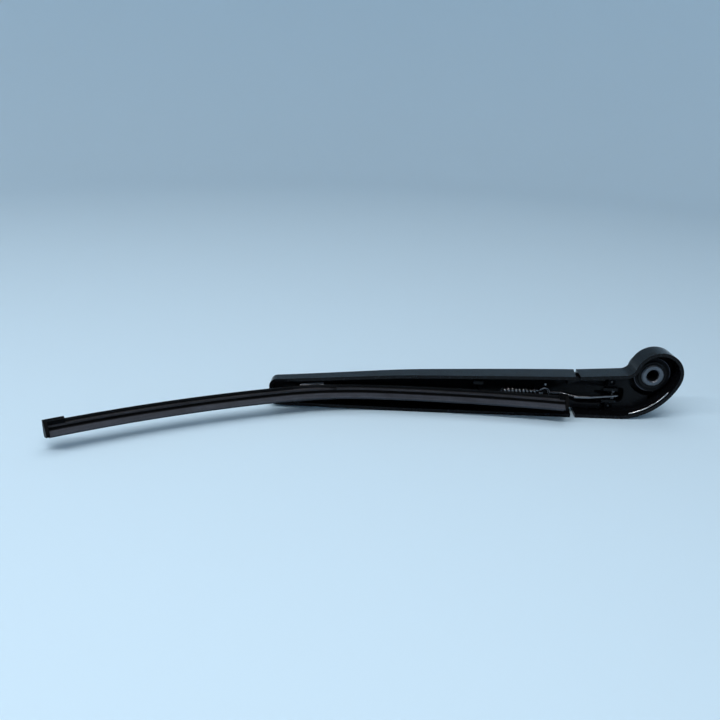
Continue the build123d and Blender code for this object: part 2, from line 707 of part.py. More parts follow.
def cover_outline():
    # Outside of the cover strip, with a fin on its upper side and two hollow slopes that meet in a crest
    with BuildSketch() as outline:
        with BuildLine():
            Polyline(
                (FIN_BACK, FIN_HALF),
                (FIN_FACE, FIN_HALF),
                (FIN_FACE, COVER_HALF),
                (COVER_LOW, COVER_HALF),
                (COVER_LOW, -COVER_HALF),
                (COVER_SHOULDER, -COVER_HALF),
            )
            RadiusArc((COVER_SHOULDER, -COVER_HALF), (COVER_TOP, -COVER_TOP_HALF), SPOILER_R)
            Line((COVER_TOP, -COVER_TOP_HALF), (COVER_TOP, COVER_TOP_HALF))
            RadiusArc((COVER_TOP, COVER_TOP_HALF), (FIN_BACK, FIN_HALF), SPOILER_R)
        make_face()
    return outline.sketch


def rail_room():
    # Room for the rails and the rubber's head inside a cover or bracket
    with BuildSketch() as room:
        Rectangle(RAIL_THICK, 2 * RAIL_OUT)
        with Locations((RUBBER_TOP, 0)):
            Rectangle(RUBBER_TOP - COVER_LOW, 2 * rubber_room, align=(Align.MAX, Align.CENTER))
    return room.sketch


def cap_sleeve():
    # Section of an end cap where it fits round the cover strip
    with BuildSketch() as sleeve:
        with Locations((CAP_TOP, 0)):
            Rectangle(CAP_TOP - COVER_LOW, CAP_HALF, align=(Align.MAX, Align.MIN))
            Rectangle(CAP_TOP - COVER_LOW, COVER_HALF, align=(Align.MAX, Align.MAX))
        fillet(sleeve.vertices().group_by(Axis.X)[-1], CAP_ROUND)
        add(cover_outline(), mode=Mode.SUBTRACT)
        add(rail_room(), mode=Mode.SUBTRACT)
    return sleeve.sketch


def cap_block():
    # Section of an end cap past the end of the rubber
    with BuildSketch() as block:
        with BuildLine():
            Polyline(
                (CAP_TOP, CAP_HALF),
                (COVER_LOW, CAP_HALF),
                (CAP_LIP_LOW, CAP_LIP_HALF),
                (CAP_LIP_LOW, -CAP_LIP_HALF),
                (COVER_SHOULDER, -COVER_HALF),
                (CAP_TOP, -COVER_HALF),
                close=True,
            )
        make_face()
        fillet(block.vertices().group_by(Axis.X)[-1], CAP_ROUND)
    return block.sketch


# Spring rails
with BuildPart() as flexor_upper:
    with BuildSketch(blade_plane(inner_stop)):
        with Locations((0, RAIL_IN)):
            Rectangle(RAIL_THICK, RAIL_OUT - RAIL_IN, align=(Align.CENTER, Align.MIN))
    sweep(path=blade_path(inner_stop, outer_stop))
flexor_upper.part.label = "flexor_upper"
export_step(flexor_upper.part, "parts/flexor_upper.step")

with BuildPart() as flexor_lower:
    with BuildSketch(blade_plane(inner_stop)):
        with Locations((0, -RAIL_IN)):
            Rectangle(RAIL_THICK, RAIL_OUT - RAIL_IN, align=(Align.CENTER, Align.MAX))
    sweep(path=blade_path(inner_stop, outer_stop))
flexor_lower.part.label = "flexor_lower"
export_step(flexor_lower.part, "parts/flexor_lower.step")

# Cover strips either side of the bracket
with BuildPart() as spoiler_outer:
    with BuildSketch(blade_plane(bracket_out)):
        add(cover_outline())
        add(rail_room(), mode=Mode.SUBTRACT)
    sweep(path=blade_path(bracket_out, outer_stop))
spoiler_outer.part.label = "spoiler_outer"
export_step(spoiler_outer.part, "parts/spoiler_outer.step")

with BuildPart() as spoiler_inner:
    with BuildSketch(blade_plane(inner_stop)):
        add(cover_outline())
        add(rail_room(), mode=Mode.SUBTRACT)
    sweep(path=blade_path(inner_stop, bracket_in))
spoiler_inner.part.label = "spoiler_inner"
export_step(spoiler_inner.part, "parts/spoiler_inner.step")

# Wiping rubber
with BuildPart() as wiper_rubber:
    with BuildSketch(blade_plane(inner_stop)):
        Rectangle(RAIL_THICK, 2 * RAIL_IN)
        with Locations((rail_half, 0)):
            Rectangle(RUBBER_TOP - rail_half, 2 * RUBBER_HALF, align=(Align.MIN, Align.CENTER))
        with Locations((-rail_half, 0)):
            Rectangle(-rail_half - RUBBER_LOW, 2 * RUBBER_HALF, align=(Align.MAX, Align.CENTER))
        with Locations((RUBBER_LOW, 0)):
            Rectangle(RUBBER_LOW - NECK_LOW, 2 * NECK_HALF, align=(Align.MAX, Align.CENTER))
        with BuildLine():
            Polyline(
                (NECK_LOW, WEDGE_HALF),
                (WEDGE_LOW, WEDGE_HALF),
                (LIP_LOW, LIP_HALF),
                (LIP_LOW, -LIP_HALF),
                (WEDGE_LOW, -WEDGE_HALF),
                (NECK_LOW, -WEDGE_HALF),
                close=True,
            )
        make_face()
    sweep(path=blade_path(inner_stop, outer_stop))
wiper_rubber.part.label = "wiper_rubber"
export_step(wiper_rubber.part, "parts/wiper_rubber.step")

# Bracket that joins the rails to the pivot pin
cheek_in = HUB_WIDE / 2 + CHEEK_GAP
cheek_plane = Plane(
    origin=(-PIVOT_ALONG, PIVOT_Y, BLADE_Z),
    x_dir=(-cos(tilt), -sin(tilt), 0),
    z_dir=(0, 0, -1),
)
cheek_low = COVER_SHOULDER - PIVOT_HEIGHT
cheek_high = CHEEK_TOP - PIVOT_HEIGHT
with BuildPart() as blade_bracket:
    with BuildSketch(blade_plane(bracket_in)):
        with BuildLine():
            Polyline(
                (BRACKET_TOP, FIN_HALF),
                (FIN_FACE, FIN_HALF),
                (FIN_FACE, COVER_HALF),
                (COVER_LOW, COVER_HALF),
                (COVER_LOW, -COVER_HALF),
                (FIN_FACE, -BRACKET_LOW_HALF),
                (BRACKET_TOP, -BRACKET_LOW_HALF),
                close=True,
            )
        make_face()
        add(rail_room(), mode=Mode.SUBTRACT)
    sweep(path=blade_path(bracket_in, bracket_out))
    with BuildSketch(cheek_plane.offset(-cheek_in - CHEEK_THICK), cheek_plane.offset(cheek_in)):
        with BuildLine():
            Polyline(
                (-CHEEK_FOOT / 2, cheek_low),
                (-CHEEK_LONG / 2, cheek_high),
                (CHEEK_LONG / 2, cheek_high),
                (CHEEK_FOOT / 2, cheek_low),
                close=True,
            )
        make_face()
    extrude(amount=CHEEK_THICK)
    with BuildSketch(cheek_plane):
        Circle(PIVOT_R)
    extrude(amount=cheek_in + CHEEK_THICK, both=True, mode=Mode.SUBTRACT)
blade_bracket.part.label = "blade_bracket"
export_step(blade_bracket.part, "parts/blade_bracket.step")

# Pivot pin of the blade
with BuildPart() as blade_pivot_pin:
    with BuildSketch(cheek_plane):
        Circle(PIVOT_R)
    extrude(amount=cheek_in + CHEEK_THICK, both=True)
blade_pivot_pin.part.label = "blade_pivot_pin"
export_step(blade_pivot_pin.part, "parts/blade_pivot_pin.step")

# End caps of the blade, each a sleeve on the cover strip and a block that shields the end of the rubber
with BuildPart() as end_cap_outer:
    with BuildSketch(blade_plane(outer_end - CAP_OUTER_LONG)):
        add(cap_sleeve())
    sweep(path=blade_path(outer_end - CAP_OUTER_LONG, outer_stop))
    with BuildSketch(blade_plane(outer_stop)):
        add(cap_block())
    sweep(path=blade_path(outer_stop, outer_end))
end_cap_outer.part.label = "end_cap_outer"
export_step(end_cap_outer.part, "parts/end_cap_outer.step")

with BuildPart() as end_cap_inner:
    with BuildSketch(blade_plane(inner_stop)):
        add(cap_sleeve())
    sweep(path=blade_path(inner_stop, inner_end + CAP_INNER_LONG))
    with BuildSketch(blade_plane(inner_end)):
        add(cap_block())
    sweep(path=blade_path(inner_end, inner_stop))
end_cap_inner.part.label = "end_cap_inner"
export_step(end_cap_inner.part, "parts/end_cap_inner.step")
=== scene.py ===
"""Finishes and stage for a rear wiper arm with its blade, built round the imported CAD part."""

import math

import bmesh
import bpy
from mathutils import Matrix, Vector


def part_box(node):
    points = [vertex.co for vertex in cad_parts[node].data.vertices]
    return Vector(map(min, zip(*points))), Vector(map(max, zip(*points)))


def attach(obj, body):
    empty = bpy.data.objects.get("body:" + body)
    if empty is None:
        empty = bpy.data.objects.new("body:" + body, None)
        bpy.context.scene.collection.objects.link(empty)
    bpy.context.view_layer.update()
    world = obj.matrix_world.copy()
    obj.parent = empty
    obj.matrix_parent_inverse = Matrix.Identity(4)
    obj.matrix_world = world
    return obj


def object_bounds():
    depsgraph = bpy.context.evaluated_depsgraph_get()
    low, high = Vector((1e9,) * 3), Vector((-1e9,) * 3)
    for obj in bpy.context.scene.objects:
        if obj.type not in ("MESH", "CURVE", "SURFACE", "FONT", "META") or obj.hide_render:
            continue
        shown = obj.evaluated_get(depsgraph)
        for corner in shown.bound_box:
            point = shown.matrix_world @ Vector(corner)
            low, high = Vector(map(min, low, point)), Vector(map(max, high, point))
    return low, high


bl_info = {
    "name": "Rear wiper arm",
    "version": (1, 0, 0),
    "blender": (4, 5, 0),
    "location": "View3D > Sidebar > Wiper arm",
    "description": "Gives a rear wiper arm its finishes, small moulding marks and a studio stage",
    "category": "Object",
}

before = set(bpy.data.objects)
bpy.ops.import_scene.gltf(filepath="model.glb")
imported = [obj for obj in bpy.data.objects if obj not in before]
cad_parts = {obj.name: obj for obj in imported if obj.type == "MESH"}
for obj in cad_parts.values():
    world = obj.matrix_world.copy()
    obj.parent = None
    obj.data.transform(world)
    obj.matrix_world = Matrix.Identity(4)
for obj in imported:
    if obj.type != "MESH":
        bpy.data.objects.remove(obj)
CAD_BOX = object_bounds()
MM = 0.001

# Nodes that share a finish
GLOSS_MOULDINGS = ("mounting_head", "arm_channel")
CLIP_MOULDINGS = ("blade_adapter", "end_cap_outer", "end_cap_inner")
PINS = ("hinge_pin_upper", "hinge_pin_lower", "hook_pin")
BRACKET_PARTS = ("blade_bracket", "blade_pivot_pin")
RAILS = ("flexor_upper", "flexor_lower")
COVER_STRIPS = ("spoiler_outer", "spoiler_inner")

# Places read from the frame
ARM_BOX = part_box("arm_channel")
RIM_Y = ARM_BOX[0].y
HEAD_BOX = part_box("mounting_head")
RUBBER_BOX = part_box("wiper_rubber")
BLADE_Z = (RUBBER_BOX[0].z + RUBBER_BOX[1].z) / 2
BRACKET_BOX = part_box("blade_bracket")

# The head's boss, which lies round the frame's own origin, with the turn of its painted highlight
# arcs, and the head's lower wall
BOSS_RADIUS = 12.6 * MM
BOSS_FACE = 1.6 * MM
BOSS_HIGHLIGHT_TURN = math.radians(35)
HEAD_WALL = 2.4 * MM
HEAD_SWEEP_X = -22.73 * MM

# Marks on the spindle insert, with the knurl's depth as a multiple of the rings'
BORE_EDGE = (4.2 * MM, 4.4 * MM)
RING_PITCH = 0.35 * MM
KNURL_TEETH = 44
KNURL_DEPTH = 6

# Heights from the blade's middle past which the strips turn to their dark fin colour and the rubber
# takes painted shade for its shadowed groove, and the colour of the painted shade in the grooves
STRIP_HEIGHT = 4.3 * MM
LIP_SHADE_HEIGHT = 1.95 * MM
GROOVE_PAINTED_SHADE = (0.002, 0.002, 0.0022, 1)

# Range that most of a noise lies in
NOISE_SPREAD = (0.3, 0.7)

# Places of the rivet and the gate nubs, and their shape per radius: the taper and height of the
# cone, then the inset and rise of each step on its top
RIVET_PLACE = Vector((-71.9, 8.7, -13.1)) * MM
GATE_PLACES = {
    "gate_nub_upper": Vector((-26.6, 3.6, -7.1)) * MM,
    "gate_nub_lower": Vector((-26.6, 3.6, -25.7)) * MM,
}
NUB_TAPER = 0.86
NUB_HEIGHT = 0.8
NUB_STEPS = ((0.12, 0.1), (0.2, 0.07), (0.2, -0.04), (0.12, -0.1))

# Stage in metres, with the lamps placed from the middle of the part
FLOOR_RADIUS = 1.8
WALL_HEIGHT = 1
COVE_RADIUS = 0.7
FLOOR_PATCH = 0.5
TOP_PLACE = Vector((0, 0.15, 1.7))
TOP_SIZE = (1.6, 1.6)
TUBE_PLACE = Vector((-0.62, -0.5, 1.0))
TUBE_SIZE = (1.8, 0.012)
FILL_PLACE = Vector((0.15, -0.95, 1.15))
FILL_SIZE = (0.7, 0.7)
SENSOR_WIDTH = 36
CLIP_START = 0.01


class WiperFinishes(bpy.types.PropertyGroup):
    """Colours and surface sizes of the wiper's materials"""

    moulding: bpy.props.FloatVectorProperty(
        name="Moulding",
        description="Colour of the head, the arm and the nut cover",
        subtype="COLOR",
        size=3,
        min=0,
        max=1,
        default=(0.003, 0.0032, 0.004),
    )
    clip: bpy.props.FloatVectorProperty(
        name="Clips",
        description="Colour of the adapter and end caps",
        subtype="COLOR",
        size=3,
        min=0,
        max=1,
        default=(0.003, 0.0031, 0.0036),
    )
    fin: bpy.props.FloatVectorProperty(
        name="Cover fin",
        description="Colour of the soft fin along the cover strips",
        subtype="COLOR",
        size=3,
        min=0,
        max=1,
        default=(0.003, 0.0031, 0.0036),
    )
    strip: bpy.props.FloatVectorProperty(
        name="Cover strips",
        description="Colour of the harder body of the cover strips",
        subtype="COLOR",
        size=3,
        min=0,
        max=1,
        default=(0.036, 0.036, 0.041),
    )
    rubber: bpy.props.FloatVectorProperty(
        name="Rubber",
        description="Colour of the graphite-dusted wiping rubber",
        subtype="COLOR",
        size=3,
        min=0,
        max=1,
        default=(0.034, 0.038, 0.048),
    )
    plated_metal: bpy.props.FloatVectorProperty(
        name="Bracket",
        description="Colour of the plated bracket where its black coat is worn away",
        subtype="COLOR",
        size=3,
        min=0,
        max=1,
        default=(0.5, 0.52, 0.58),
    )
    cast_metal: bpy.props.FloatVectorProperty(
        name="Spindle insert",
        description="Colour of the bare cast insert",
        subtype="COLOR",
        size=3,
        min=0,
        max=1,
        default=(0.15, 0.16, 0.18),
    )
    bright_metal: bpy.props.FloatVectorProperty(
        name="Rivet and bead",
        description="Colour of the bright rivet and the painted highlight bead",
        subtype="COLOR",
        size=3,
        min=0,
        max=1,
        default=(0.6, 0.61, 0.63),
    )
    pin_metal: bpy.props.FloatVectorProperty(
        name="Pins",
        description="Colour of the dark ground steel pins and rails",
        subtype="COLOR",
        size=3,
        min=0,
        max=1,
        default=(0.1, 0.1, 0.106),
    )
    coated_metal: bpy.props.FloatVectorProperty(
        name="Spring and hook",
        description="Colour of the dark coated spring and hook",
        subtype="COLOR",
        size=3,
        min=0,
        max=1,
        default=(0.2, 0.2, 0.212),
    )
    grain: bpy.props.FloatProperty(
        name="Grain",
        description="Size of the moulded grain",
        subtype="DISTANCE",
        unit="LENGTH",
        min=0.05 * MM,
        default=0.35 * MM,
    )
    grain_depth: bpy.props.FloatProperty(
        name="Grain depth",
        description="Depth of the moulded grain",
        subtype="DISTANCE",
        unit="LENGTH",
        min=0,
        default=0.003 * MM,
    )
    edge: bpy.props.FloatProperty(
        name="Edge softness",
        description="Radius that softens the look of sharp moulded edges",
        subtype="DISTANCE",
        unit="LENGTH",
        min=0,
        default=0.3 * MM,
    )


class WiperShape(bpy.types.PropertyGroup):
    """Sizes of the small added pieces"""

    nub_radius: bpy.props.FloatProperty(
        name="Gate nub radius",
        description="Radius of the rivet and of the nubs left where the mould was filled",
        subtype="DISTANCE",
        unit="LENGTH",
        default=1.0 * MM,
    )
    bead_radius: bpy.props.FloatProperty(
        name="Bead radius",
        description="Radius of the round bead along the inside of the head's lower wall",
        subtype="DISTANCE",
        unit="LENGTH",
        default=0.65 * MM,
    )
    bead_sweep: bpy.props.FloatProperty(
        name="Bead sweep",
        description="Radius of the curve that the bead follows",
        subtype="DISTANCE",
        unit="LENGTH",
        default=41.0 * MM,
    )
    bead_depth: bpy.props.FloatProperty(
        name="Bead depth",
        description="How far the bead lies behind the rim",
        subtype="DISTANCE",
        unit="LENGTH",
        default=2.5 * MM,
    )
    bead_start: bpy.props.FloatProperty(
        name="Bead start",
        description="Where the bead starts, turned from straight below the middle of its curve",
        subtype="ANGLE",
        unit="ROTATION",
        default=math.radians(13),
    )
    bead_turn: bpy.props.FloatProperty(
        name="Bead turn",
        description="How far the bead runs round its curve",
        subtype="ANGLE",
        unit="ROTATION",
        default=math.radians(43),
    )


class WiperStage(bpy.types.PropertyGroup):
    """Floor, lights and camera"""

    floor: bpy.props.FloatVectorProperty(
        name="Floor",
        description="Colour of the floor and the backdrop",
        subtype="COLOR",
        size=3,
        min=0,
        max=1,
        default=(0.6, 0.77, 0.9),
    )
    lens: bpy.props.FloatProperty(
        name="Lens",
        description="Focal length of the camera in millimetres",
        default=37,
    )
    camera_place: bpy.props.FloatVectorProperty(
        name="Camera",
        description="Place of the camera",
        subtype="TRANSLATION",
        unit="LENGTH",
        size=3,
        default=(-205.5 * MM, -481.1 * MM, 193.3 * MM),
    )
    pitch: bpy.props.FloatProperty(
        name="Pitch",
        description="How far the camera looks down",
        subtype="ANGLE",
        unit="ROTATION",
        default=math.radians(21.5),
    )
    roll: bpy.props.FloatProperty(
        name="Roll",
        description="How far the camera leans",
        subtype="ANGLE",
        unit="ROTATION",
        default=math.radians(2.09),
    )
    top_power: bpy.props.FloatProperty(
        name="Top light",
        description="Power of the wide soft lamp overhead",
        unit="POWER",
        default=8.8,
    )
    tube_power: bpy.props.FloatProperty(
        name="Tube light",
        description="Power of the thin tube lamp along the arm that draws the crisp highlights",
        unit="POWER",
        default=9.8,
    )
    fill_power: bpy.props.FloatProperty(
        name="Fill light",
        description="Power of the soft lamp in front",
        unit="POWER",
        default=1.5,
    )
    sky_colour: bpy.props.FloatVectorProperty(
        name="Sky colour",
        description="Colour of the light from all round",
        subtype="COLOR",
        size=3,
        min=0,
        max=1,
        default=(0.84, 0.91, 0.96),
    )
    sky: bpy.props.FloatProperty(
        name="Sky",
        description="Strength of the light from all round",
        default=0.25,
    )


def add_node(tree, kind, place, **settings):
    # A shader node at a place in the tree, with its settings
    node = tree.nodes.new(kind)
    node.location = place
    for name, value in settings.items():
        setattr(node, name, value)
    return node


def fill_sockets(node, **values):
    # Values for a node's sockets, with spaces in their names written as underscores
    for name, value in values.items():
        node.inputs[name.replace("_", " ")].default_value = value


def start_material(name, **shader_values):
    # A material with a principled shader and object coordinates
    material = bpy.data.materials.new(name)
    material.use_nodes = True
    tree = material.node_tree
    shader = tree.nodes["Principled BSDF"]
    fill_sockets(shader, **shader_values)
    place = add_node(tree, "ShaderNodeTexCoord", (-1400, 0))
    return material, tree, shader, place.outputs["Object"]


def add_noise(tree, coordinates, spot, size, detail):
    # Noise whose spots have a real size
    noise = add_node(tree, "ShaderNodeTexNoise", spot)
    fill_sockets(noise, Scale=1 / size, Detail=detail)
    tree.links.new(coordinates, noise.inputs["Vector"])
    return noise.outputs["Fac"]


def remap(tree, value, spot, source, target):
    # A value mapped from one range to another and held inside it
    ranged = add_node(tree, "ShaderNodeMapRange", spot)
    fill_sockets(ranged, From_Min=source[0], From_Max=source[1])
    fill_sockets(ranged, To_Min=target[0], To_Max=target[1])
    tree.links.new(value, ranged.inputs["Value"])
    return ranged.outputs["Result"]


def feed(tree, value, socket):
    # A value for a socket, from another socket or as it is
    if isinstance(value, bpy.types.NodeSocket):
        tree.links.new(value, socket)
    else:
        socket.default_value = value


def mix_colours(tree, share, spot, first, second):
    # Two colours mixed by a share
    mix = add_node(tree, "ShaderNodeMix", spot, data_type="RGBA")
    ends = [socket for socket in mix.inputs if socket.type == "RGBA"]
    feed(tree, share, mix.inputs["Factor"])
    feed(tree, first, ends[0])
    feed(tree, second, ends[1])
    return next(socket for socket in mix.outputs if socket.type == "RGBA")


def arithmetic(tree, operation, spot, *values):
    # One operation on sockets and numbers
    made = add_node(tree, "ShaderNodeMath", spot, operation=operation)
    for value, socket in zip(values, made.inputs):
        feed(tree, value, socket)
    return made.outputs["Value"]


def split_axes(tree, coordinates, spot):
    # The three values of a place
    axes = add_node(tree, "ShaderNodeSeparateXYZ", spot)
    tree.links.new(coordinates, axes.inputs["Vector"])
    return axes.outputs


def spindle_distance(tree, coordinates, spot):
    # Distance from the spindle's axis
    flat = add_node(tree, "ShaderNodeVectorMath", spot, operation="MULTIPLY")
    flat.inputs[1].default_value = (1, 0, 1)
    tree.links.new(coordinates, flat.inputs[0])
    radius = add_node(tree, "ShaderNodeVectorMath", (spot[0] + 150, spot[1]), operation="LENGTH")
    tree.links.new(flat.outputs["Vector"], radius.inputs[0])
    return radius.outputs["Value"]


def blade_height(tree, axes, spot):
    # Height above or below the blade's middle
    offset = arithmetic(tree, "SUBTRACT", spot, axes["Z"], BLADE_Z)
    return arithmetic(tree, "ABSOLUTE", (spot[0] + 150, spot[1]), offset)


def add_crevice_shade(tree, spot, reach, bounds, shade):
    # A share from ambient occlusion that falls in grooves, corners and hollows, used for painted
    # shade
    shelter = add_node(tree, "ShaderNodeAmbientOcclusion", spot, samples=8, only_local=True)
    fill_sockets(shelter, Distance=reach)
    return remap(tree, shelter.outputs["AO"], (spot[0] + 200, spot[1]), bounds, (shade, 1))


def add_relief(tree, shader, height, depth, edge):
    # Bump over softened edges
    soft = add_node(tree, "ShaderNodeBevel", (-500, -500), samples=6)
    fill_sockets(soft, Radius=edge)
    bump = add_node(tree, "ShaderNodeBump", (-250, -420))
    fill_sockets(bump, Strength=1, Distance=depth)
    tree.links.new(height, bump.inputs["Height"])
    tree.links.new(soft.outputs["Normal"], bump.inputs["Normal"])
    tree.links.new(bump.outputs["Normal"], shader.inputs["Normal"])


def toned(colour, factor):
    # A colour made darker or lighter, ready for a socket
    return (*(factor * channel for channel in colour), 1)


def finish_nodes(names, material):
    # One material on each named CAD node
    for name in names:
        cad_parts[name].data.materials.clear()
        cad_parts[name].data.materials.append(material)


def make_object(context, name, mesh, material):
    # A smooth-shaded object from a finished mesh
    for face in mesh.faces:
        face.smooth = True
    data = bpy.data.meshes.new(name)
    mesh.to_mesh(data)
    mesh.free()
    data.materials.append(material)
    piece = bpy.data.objects.new(name, data)
    context.scene.collection.objects.link(piece)
    return piece


def add_lamp(context, name, place, aim, size, power):
    # A soft rectangular lamp turned towards a point
    lamp = bpy.data.lights.new(name, "AREA")
    lamp.shape = "RECTANGLE"
    lamp.size, lamp.size_y = size
    lamp.energy = power
    holder = bpy.data.objects.new(name, lamp)
    holder.location = place
    holder.rotation_mode = "QUATERNION"
    holder.rotation_quaternion = (aim - place).to_track_quat("-Z", "Y")
    context.scene.collection.objects.link(holder)


def add_painted_boss_highlight(tree, coordinates, axes):
    # A share along two arcs of the boss's edge, for painted highlights there
    radius = spindle_distance(tree, coordinates, (-1200, 1100))
    band = (BOSS_RADIUS - 0.7 * MM, BOSS_RADIUS - 0.4 * MM)
    limit = (BOSS_RADIUS + 0.15 * MM, BOSS_RADIUS + 0.05 * MM)
    depth = (BOSS_FACE + 0.7 * MM, BOSS_FACE + 0.4 * MM)
    inner = remap(tree, radius, (-850, 1100), band, (0, 1))
    outer = remap(tree, radius, (-850, 1300), limit, (0, 1))
    face = remap(tree, axes["Y"], (-850, 1500), depth, (0, 1))
    turn = arithmetic(tree, "ARCTAN2", (-1050, 1700), axes["Z"], axes["X"])
    double = arithmetic(tree, "MULTIPLY_ADD", (-900, 1700), turn, 2, -2 * BOSS_HIGHLIGHT_TURN)
    wave = arithmetic(tree, "COSINE", (-750, 1700), double)
    sides = remap(tree, wave, (-600, 1700), (-0.2, 0.8), (0, 1))
    ring = arithmetic(tree, "MULTIPLY", (-600, 1200), inner, outer)
    arcs = arithmetic(tree, "MULTIPLY", (-600, 1500), face, sides)
    return arithmetic(tree, "MULTIPLY", (-450, 1350), ring, arcs)


def moulded_plastic(name, colour, finishes, specular, gloss, shell=False):
    # Black moulding with a fine grain and uneven gloss. A shell has painted shade on its
    # reflections in hollows, is scuffed along its rim and has painted highlight arcs on its boss
    material, tree, shader, coordinates = start_material(name, IOR=1.5, Specular_IOR_Level=specular)
    cloud = add_noise(tree, coordinates, (-1100, 300), size=24 * MM, detail=3)
    tone = mix_colours(tree, cloud, (-600, 320), toned(colour, 0.8), toned(colour, 1.5))
    smudge = add_noise(tree, coordinates, (-1100, 20), size=6 * MM, detail=6)
    shine = remap(tree, smudge, (-800, 20), NOISE_SPREAD, gloss)
    if shell:
        axes = split_axes(tree, coordinates, (-1200, 620))
        rim_band = (RIM_Y + 0.7 * MM, RIM_Y)
        near_rim = remap(tree, axes["Y"], (-1000, 620), rim_band, (0, 1))
        nick = add_noise(tree, coordinates, (-1000, 860), size=1.6 * MM, detail=5)
        worn = remap(tree, nick, (-800, 860), (0.55, 0.72), (0, 0.2))
        rim_scuff = arithmetic(tree, "MULTIPLY", (-600, 720), near_rim, worn)
        # The lighter tone on two arcs of the boss's edge is a painted highlight, added to the rim's
        # real scuffs
        painted_boss_highlight = add_painted_boss_highlight(tree, coordinates, axes)
        scuff_and_highlight = arithmetic(tree, "ADD", (-450, 720), rim_scuff, painted_boss_highlight)
        tone = mix_colours(tree, scuff_and_highlight, (-350, 420), tone, toned(colour, 16))
        shine = arithmetic(tree, "ADD", (-350, 60), shine, scuff_and_highlight)
        # Painted shade: reflections are tinted darker in hollows and corners by ambient occlusion
        painted_reflection_shade = add_crevice_shade(tree, (-900, -700), reach=25 * MM, bounds=(0.6, 0.95), shade=0.15)
        tree.links.new(painted_reflection_shade, shader.inputs["Specular Tint"])
    tree.links.new(tone, shader.inputs["Base Color"])
    tree.links.new(shine, shader.inputs["Roughness"])
    grain = add_noise(tree, coordinates, (-1100, -300), size=finishes.grain, detail=2)
    add_relief(tree, shader, grain, finishes.grain_depth, finishes.edge)
    return material


def extruded_material(name, colour, edge_tone_and_shade, edge_height, gloss, line, depth, edge):
    # Extruded rubber or plastic that keeps one height all along the blade: fine drawn lines,
    # another tone past a height above and below its middle (the strips' dark fin; on the rubber,
    # painted shade), and painted shade in its grooves
    material, tree, shader, coordinates = start_material(name, IOR=1.48, Specular_IOR_Level=0.12)
    drawn = add_node(tree, "ShaderNodeVectorMath", (-1100, -250), operation="MULTIPLY")
    drawn.inputs[1].default_value = (0.02, 0.02, 1)
    tree.links.new(coordinates, drawn.inputs[0])
    lines = add_noise(tree, drawn.outputs["Vector"], (-900, -250), size=line, detail=3)
    patch = add_noise(tree, coordinates, (-1100, 300), size=9 * MM, detail=5)
    speckle = add_noise(tree, coordinates, (-1100, 520), size=0.5 * MM, detail=2)
    mottle = arithmetic(tree, "MULTIPLY", (-850, 420), patch, speckle)
    streak = arithmetic(tree, "MULTIPLY", (-680, 420), mottle, lines)
    share = remap(tree, streak, (-520, 420), (0.04, 0.24), (0, 1))
    height = blade_height(tree, split_axes(tree, coordinates, (-1200, 760)), (-1020, 760))
    step = (edge_height - 0.1 * MM, edge_height + 0.1 * MM)
    # On the rubber, the tone past the height is painted shade where its groove lies in shadow; on
    # the strips it is the fin's own colour
    past = remap(tree, height, (-700, 760), step, (0, 1))
    body = mix_colours(tree, share, (-350, 420), toned(colour, 0.7), toned(colour, 1.5))
    rim = mix_colours(tree, share, (-350, 620), toned(edge_tone_and_shade, 0.7), toned(edge_tone_and_shade, 1.5))
    tone = mix_colours(tree, past, (-180, 520), body, rim)
    # Painted shade in the grooves, from ambient occlusion
    unshaded = add_crevice_shade(tree, (-600, 200), reach=3 * MM, bounds=(0.5, 0.92), shade=0.05)
    shaded = mix_colours(tree, unshaded, (-180, 300), GROOVE_PAINTED_SHADE, tone)
    tree.links.new(shaded, shader.inputs["Base Color"])
    shine = remap(tree, patch, (-680, 40), NOISE_SPREAD, gloss)
    tree.links.new(shine, shader.inputs["Roughness"])
    add_relief(tree, shader, lines, depth, edge)
    return material


def coated_bracket(name, finishes):
    # Plated steel under a black coat, which is worn off the tops of the cheeks and greyer on the
    # jaws
    material, tree, shader, coordinates = start_material(name, Specular_IOR_Level=0.15)
    axes = split_axes(tree, coordinates, (-1200, 300))
    face, top = BRACKET_BOX[0].y, BRACKET_BOX[1].y
    middle = (BRACKET_BOX[0].x + BRACKET_BOX[1].x) / 2
    worn_tops = (top - 6.4 * MM, top - 5.8 * MM)
    outer_end = (middle + 6 * MM, middle + 5 * MM)
    jaw_height = (4.4 * MM, 4.2 * MM)
    jaw_depth = (face + 6.5 * MM, face + 5.5 * MM)
    nick = add_noise(tree, coordinates, (-1200, 60), size=1.2 * MM, detail=5)
    ragged = arithmetic(tree, "MULTIPLY_ADD", (-1000, 200), nick, 1.2 * MM, axes["Y"])
    high = remap(tree, ragged, (-820, 200), worn_tops, (0, 1))
    outer = remap(tree, axes["X"], (-820, 380), outer_end, (0, 1))
    worn = arithmetic(tree, "MULTIPLY", (-650, 260), high, outer)
    streak = add_noise(tree, coordinates, (-1000, -120), size=2.4 * MM, detail=6)
    plated = finishes.plated_metal
    metal = mix_colours(tree, streak, (-600, 420), toned(plated, 0.7), toned(plated, 1))
    black = finishes.clip
    coat = mix_colours(tree, streak, (-600, 220), toned(black, 0.8), toned(black, 1.5))
    height = blade_height(tree, axes, (-1000, 600))
    low = remap(tree, height, (-700, 600), jaw_height, (0, 1))
    front = remap(tree, axes["Y"], (-700, 800), jaw_depth, (0, 1))
    jaw = arithmetic(tree, "MULTIPLY", (-520, 700), low, front)
    coat = mix_colours(tree, jaw, (-480, 240), coat, toned(finishes.strip, 1))
    tone = mix_colours(tree, worn, (-350, 320), coat, metal)
    tree.links.new(tone, shader.inputs["Base Color"])
    bare = arithmetic(tree, "MULTIPLY", (-350, 120), worn, 0.3)
    tree.links.new(bare, shader.inputs["Metallic"])
    shine = remap(tree, streak, (-600, 0), NOISE_SPREAD, (0.36, 0.52))
    tree.links.new(shine, shader.inputs["Roughness"])
    grain = add_noise(tree, coordinates, (-1000, -360), size=0.6 * MM, detail=3)
    add_relief(tree, shader, grain, 0.004 * MM, finishes.edge)
    return material


